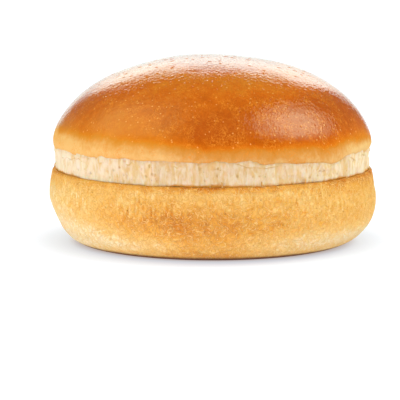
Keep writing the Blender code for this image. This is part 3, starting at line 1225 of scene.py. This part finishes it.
    def fringe(self, place: Vector) -> float:
        """Returns how far the crumb's lower edge is torn up at a point, in metres."""
        near_cut = self.fringe_height.at(place.z - self.cut.above)
        torn_up = sum(grain.at(place) for grain in self.fringes)
        torn_up *= self.fringe_plain + self.cut.crease_toast_and_shade(place)
        return near_cut * (max(torn_up, 0.0) - self.cut.gap * self.gap_closed)

    def sunk(self, place: Vector) -> float:
        """Returns how far a point of the crumb lies in a pore, between fibres or in the strip under a ledge,
        from 0 to 1; the finish paints shade from it.
        """
        groove = clamp(self.groove_middle - self.groove_slope * self.fibres(place))
        # The strip under the ledge's edge, where a shadow is painted.
        under_ledge = (1.0 - self.ledge(place)) * self.ledge(place + UP * self.ledge_shadow)
        sunk = self.sunk_pores * self.pores(place) + self.sunk_grooves * groove
        return clamp(sunk + self.sunk_shadow * under_ledge)

    def crumb_baked(self, place: Vector) -> float:
        """Returns how far the torn crumb is browned at a point, from 0 to 1: painted shade under the crust's lip
        at the top, and toast with painted crease shade at the slice.
        """
        wander = self.browning_wander.at(place)
        crease_toast_and_shade = self.cut.crease_toast_and_shade(place)
        above_cut = place.z - self.cut.above
        # Toast and painted crease shade at the foot, by the slice.
        bottom = self.foot_toast_and_shade.at(above_cut + self.foot_wander * wander)
        bottom *= self.foot_plain + self.foot_browned * crease_toast_and_shade
        # Painted shade under the crust's lip.
        top = self.shade_under_lip.at(place.z + wander - self.side_top)
        return clamp(top + bottom + crease_toast_and_shade * self.crease_shade.at(above_cut))

    def build_crust(self, shift: Vector) -> None:
        """Builds the glazed crust, moves it onto the axis by a shift and dresses it."""
        mesh = turned(self.crust_outline(), self.steps)
        note(mesh, baked=self.crust_baked, glazed=self.glazed, golden=self.golden, top=self.wrinkled)
        for vertex in mesh.verts:
            place = vertex.co.copy()
            vertex.co = self.uneven_place(place) + self.swell(place) + UP * self.fine_edge(place)
        dented(mesh, self.crust_relief, shift)
        finished("crown_crust", mesh, GlazedCrust().material(), "crown")

    def build_crumb(self, shift: Vector) -> None:
        """Builds the torn side with its cut face, moves it by a shift and dresses it."""
        mesh = turned(self.crumb_outline(), self.crumb_steps)
        note(mesh, sunk=self.sunk, baked=self.crumb_baked, tone=self.crumb_tone)
        for vertex in mesh.verts:
            place = vertex.co.copy()
            vertex.co = self.uneven_place(place) + shift
            if radius_of(place) > self.torn_from * self.side_radius:
                out = self.flutes.at(place) + self.torn_relief(place)
                vertex.co += flat(place) * out + UP * self.fringe(place)
        finished("crown_crumb", mesh, TornCrumb().material(), "crown")


@dataclass
class LooseCrumbs:
    """Small crumbs on the heel's rim and torn strands across the slice."""

    cut: Slice
    crown: Crown
    heel: Heel
    seed: int = 12
    crumb_count: int = 46
    crumb_radius: tuple[float, float] = (0.00014, 0.00036)
    crumb_out: tuple[float, float] = (0.0002, 0.0006)
    crumb_shape: tuple[float, float, float] = (1.0, 0.8, 0.6)
    crumb_rough: float = 0.45
    crumb_lump: float = 0.9
    crumb_seed: float = 9.0
    crumb_raised: float = 0.35
    strands_seen: tuple[float, ...] = (-86.5, -72.5, -55.5)
    seen_length: float = 0.0019
    seen_radius: float = 0.00024
    strand_count: int = 5
    strand_length: tuple[float, float] = (0.0010, 0.0016)
    strand_radius: tuple[float, float] = (0.00016, 0.00026)
    strand_out: float = 0.00030
    strand_lean: float = 0.00018
    strand_raised: float = 0.22
    strand_bend: float = 0.30
    strand_wave: float = 2.2
    strand_seed: float = 7.0
    tone: float = 0.5
    toasted: float = 0.62
    toasted_by: float = 0.3
    toasted_width: float = 0.004

    def crumb(self, mesh: bmesh.types.BMesh, place: Vector, size: float, turn: float) -> None:
        """Adds one crumb.

        Args:
            mesh: The mesh that it joins.
            place: Its centre.
            size: Its radius in metres.
            turn: A turn in radians that also picks its shape.
        """
        made = bmesh.ops.create_icosphere(mesh, subdivisions=2, radius=size)["verts"]
        for vertex in made:
            lump = noise.noise(vertex.co / (size * self.crumb_lump) + Vector((turn * self.crumb_seed,) * 3))
            vertex.co *= 1.0 + self.crumb_rough * lump
        bmesh.ops.scale(mesh, vec=self.crumb_shape, verts=made)
        bmesh.ops.rotate(mesh, cent=(0.0, 0.0, 0.0), matrix=Matrix.Rotation(turn, 3, "Z"), verts=made)
        bmesh.ops.translate(mesh, vec=place, verts=made)

    def strand(self, mesh: bmesh.types.BMesh, angle: float, length: float, width: float) -> None:
        """Adds one torn strand that hangs from the crumb and leans on the heel's rim.

        Args:
            mesh: The mesh that it joins.
            angle: Where it hangs, in radians about the axis.
            length: Its length in metres.
            width: Its radius in metres at the middle.
        """
        away = outward(angle)
        sideways = UP.cross(away)
        made = bmesh.ops.create_uvsphere(mesh, u_segments=7, v_segments=9, radius=1.0)["verts"]
        radius = self.crown.side_radius * self.crown.uneven.grown(away) + self.strand_out
        centre = away * radius + UP * (self.cut.above + length * self.strand_raised)
        for vertex in made:
            along = vertex.co.z
            bend = self.strand_bend * width * math.sin(along * self.strand_wave + angle * self.strand_seed)
            across = sideways * (vertex.co.x * width + bend)
            out = away * (vertex.co.y * width - along * self.strand_lean)
            vertex.co = centre + across + out + UP * (along * length / 2)

    def baked(self, place: Vector) -> float:
        """Returns how far a crumb is toasted at a point, from 0 to 1."""
        return clamp(self.toasted + self.toasted_by * noise.noise(place / self.toasted_width))

    def build(self, shift: Vector) -> None:
        """Scatters the crumbs and strands along the slice, moves them by a shift and dresses them."""
        chance = random.Random(self.seed)
        mesh = bmesh.new()
        for _ in range(self.crumb_count):
            away = outward(chance.uniform(0.0, math.tau))
            size = chance.uniform(*self.crumb_radius)
            radius = self.crown.side_radius + chance.uniform(*self.crumb_out)
            height = self.cut.height + size * self.crumb_raised
            place = away * (radius * self.heel.uneven.grown(away)) + UP * height
            self.crumb(mesh, place, size, chance.uniform(0.0, math.tau))
        for degrees in self.strands_seen:
            self.strand(mesh, math.radians(degrees), self.seen_length, self.seen_radius)
        for _ in range(self.strand_count):
            length = chance.uniform(*self.strand_length)
            angle = chance.uniform(0.0, math.tau)
            self.strand(mesh, angle, length, chance.uniform(*self.strand_radius))
        for vertex in mesh.verts:
            vertex.co += shift
        note(mesh, sunk=lambda place: 0.0, baked=self.baked, tone=lambda place: self.tone)
        bmesh.ops.recalc_face_normals(mesh, faces=mesh.faces[:])
        finished("loose_crumbs", mesh, TornCrumb().material(), "crown")


@dataclass(frozen=True)
class Softbox:
    """One soft studio light that faces the bun."""

    name: str
    towards: tuple[float, float, float]
    distance: float
    width: float
    height: float
    radiance: float
    shape: Shape
    colour: Tint = (1.0, 1.0, 1.0)

    def build(self, target: Vector) -> None:
        """Hangs the light and aims it at a target."""
        data = bpy.data.lights.new(self.name, "AREA")
        data.shape = self.shape.value
        data.size = self.width
        data.size_y = self.height
        filled = math.pi / 4 if self.shape is Shape.ROUND else 1.0
        data.energy = math.pi * self.width * self.height * filled * self.radiance
        data.color = self.colour
        light = bpy.data.objects.new(self.name, data)
        bpy.context.scene.collection.objects.link(light)
        direction = Vector(self.towards).normalized()
        light.location = target + direction * self.distance
        light.rotation_euler = direction.to_track_quat("Z", "Y").to_euler()
        light.visible_camera = False


RIGHT_TINT: Tint = (0.94, 1.0, 0.70)
LEFT_TINT: Tint = (0.92, 1.0, 0.50)
LEFT_EDGE_TINT: Tint = (1.0, 1.0, 0.30)
BACK_TINT: Tint = (0.83, 1.0, 0.98)
BACK_TOP_TINT: Tint = (0.83, 1.0, 0.95)
OVERHEAD_TINT: Tint = (1.0, 0.92, 0.60)


@dataclass
class Studio:
    """A pale floor in a plain white studio, soft lights and the camera."""

    target: Vector = field(default_factory=lambda: Vector((0.0, 0.0, 0.030)))
    distance: float = 0.817
    elevation: float = 0.120
    pixels: float = 400.0
    pixels_per_metre: float = 3182.0
    target_pixel: tuple[float, float] = (212.6, 146.8)
    sensor: float = 36.0
    floor_radius: float = 1.3
    floor_corners: int = 96
    ambient: Span = (0.0, 0.75, 0.14, 0.09)
    seen_white: float = 1.1
    lights: tuple[Softbox, ...] = (
        Softbox("right_softbox", (0.70, -0.05, 0.71), 1.0, 0.60, 0.56, 5.1, Shape.ROUND, RIGHT_TINT),
        Softbox("right_softbox_edge", (0.70, -0.05, 0.71), 1.0, 1.06, 0.94, 2.0, Shape.ROUND, RIGHT_TINT),
        Softbox("left_softbox", (-0.64, 0.0, 0.77), 1.0, 1.35, 1.15, 0.64, Shape.ROUND, LEFT_EDGE_TINT),
        Softbox("left_softbox_middle", (-0.66, 0.0, 0.75), 1.0, 0.90, 0.85, 0.76, Shape.ROUND, LEFT_TINT),
        Softbox("left_softbox_core", (-0.66, 0.0, 0.75), 1.0, 0.50, 0.50, 0.54, Shape.ROUND, LEFT_TINT),
        Softbox("backdrop", (0.0, 0.956, 0.292), 1.66, 1.17, 1.08, 1.20, Shape.SQUARE, BACK_TINT),
        Softbox("backdrop_top", (0.0, 0.909, 0.417), 1.66, 1.10, 0.60, 1.42, Shape.SQUARE, BACK_TOP_TINT),
        Softbox("overhead", (-0.10, -0.45, 0.88), 1.3, 1.60, 1.20, 0.10, Shape.SQUARE, OVERHEAD_TINT),
        Softbox("front_fill", (-0.10, -0.98, 0.13), 1.45, 3.0, 0.60, 2.20, Shape.SQUARE),
        Softbox("left_fill", (-0.88, -0.42, 0.12), 1.45, 1.2, 0.60, 3.5, Shape.SQUARE),
        Softbox("right_fill", (0.88, -0.42, 0.12), 1.45, 1.2, 0.60, 1.0, Shape.SQUARE),
    )

    def floor(self) -> None:
        """Lays the floor."""
        mesh = bmesh.new()
        bmesh.ops.create_circle(
            mesh, cap_ends=True, segments=self.floor_corners, radius=self.floor_radius
        )
        data = bpy.data.meshes.new("floor")
        mesh.to_mesh(data)
        mesh.free()
        data.materials.append(PaleFloor().material())
        floor = bpy.data.objects.new("floor", data)
        bpy.context.scene.collection.objects.link(floor)
        floor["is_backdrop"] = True

    def world(self) -> None:
        """Makes the studio's ambient light, and plain white where the camera sees past the floor."""
        world = bpy.data.worlds.new("studio")
        world.use_nodes = True
        bpy.context.scene.world = world
        nodes = Nodes(world.node_tree)
        direction = nodes.node("ShaderNodeTexCoord", "Generated", {})
        height = nodes.node("ShaderNodeSeparateXYZ", "Z", {"Vector": direction})
        ambient = world.node_tree.nodes["Background"]
        nodes.feed(ambient, {"Color": WHITE, "Strength": nodes.spread(height, *self.ambient)})
        inputs = {"Color": WHITE, "Strength": self.seen_white}
        white = nodes.node("ShaderNodeBackground", "Background", inputs)
        seen = nodes.node("ShaderNodeLightPath", "Is Camera Ray", {})
        inputs = {"Fac": seen, 1: ambient.outputs["Background"], 2: white}
        both = nodes.node("ShaderNodeMixShader", "Shader", inputs)
        nodes.feed(world.node_tree.nodes["World Output"], {"Surface": both})

    def camera(self) -> None:
        """Places the camera at the photograph's angle, aimed so that the bun stands where it does there."""
        data = bpy.data.cameras.new("camera")
        data.sensor_width = self.sensor
        data.lens = self.sensor * self.distance * self.pixels_per_metre / self.pixels
        camera = bpy.data.objects.new("camera", data)
        bpy.context.scene.collection.objects.link(camera)
        back = Vector((0.0, -math.cos(self.elevation), math.sin(self.elevation)))
        up = Vector((0.0, math.sin(self.elevation), math.cos(self.elevation)))
        camera.location = self.target + back * self.distance
        right_by = (self.pixels / 2 - self.target_pixel[0]) / self.pixels_per_metre
        up_by = (self.target_pixel[1] - self.pixels / 2) / self.pixels_per_metre
        aim = self.target + Vector((right_by, 0.0, 0.0)) + up * up_by
        camera.rotation_euler = (aim - camera.location).to_track_quat("-Z", "Y").to_euler()
        bpy.context.scene.camera = camera

    def build(self) -> None:
        """Sets up the floor, the light and the camera, with colours shown as they are."""
        self.floor()
        self.world()
        for light in self.lights:
            light.build(self.target)
        self.camera()
        bpy.context.scene.view_settings.view_transform = "Standard"


def main() -> None:
    """Builds the bun and its studio."""
    logging.basicConfig(level=logging.INFO, format="%(message)s")
    cut = Slice()
    heel = Heel(cut)
    crown = Crown(cut)
    shift = heel.build()
    crown.build_crust(shift)
    crown.build_crumb(shift)
    LooseCrumbs(cut, crown, heel).build(shift)
    Studio().build()
    boxes = {"cad": [list(corner) for corner in CAD_BOX], "visual": [list(corner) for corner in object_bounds()]}
    for name, box in boxes.items():
        log.info("%s box %s", name, [[round(value * 1000, 2) for value in corner] for corner in box])


if __name__ == "__main__":
    main()
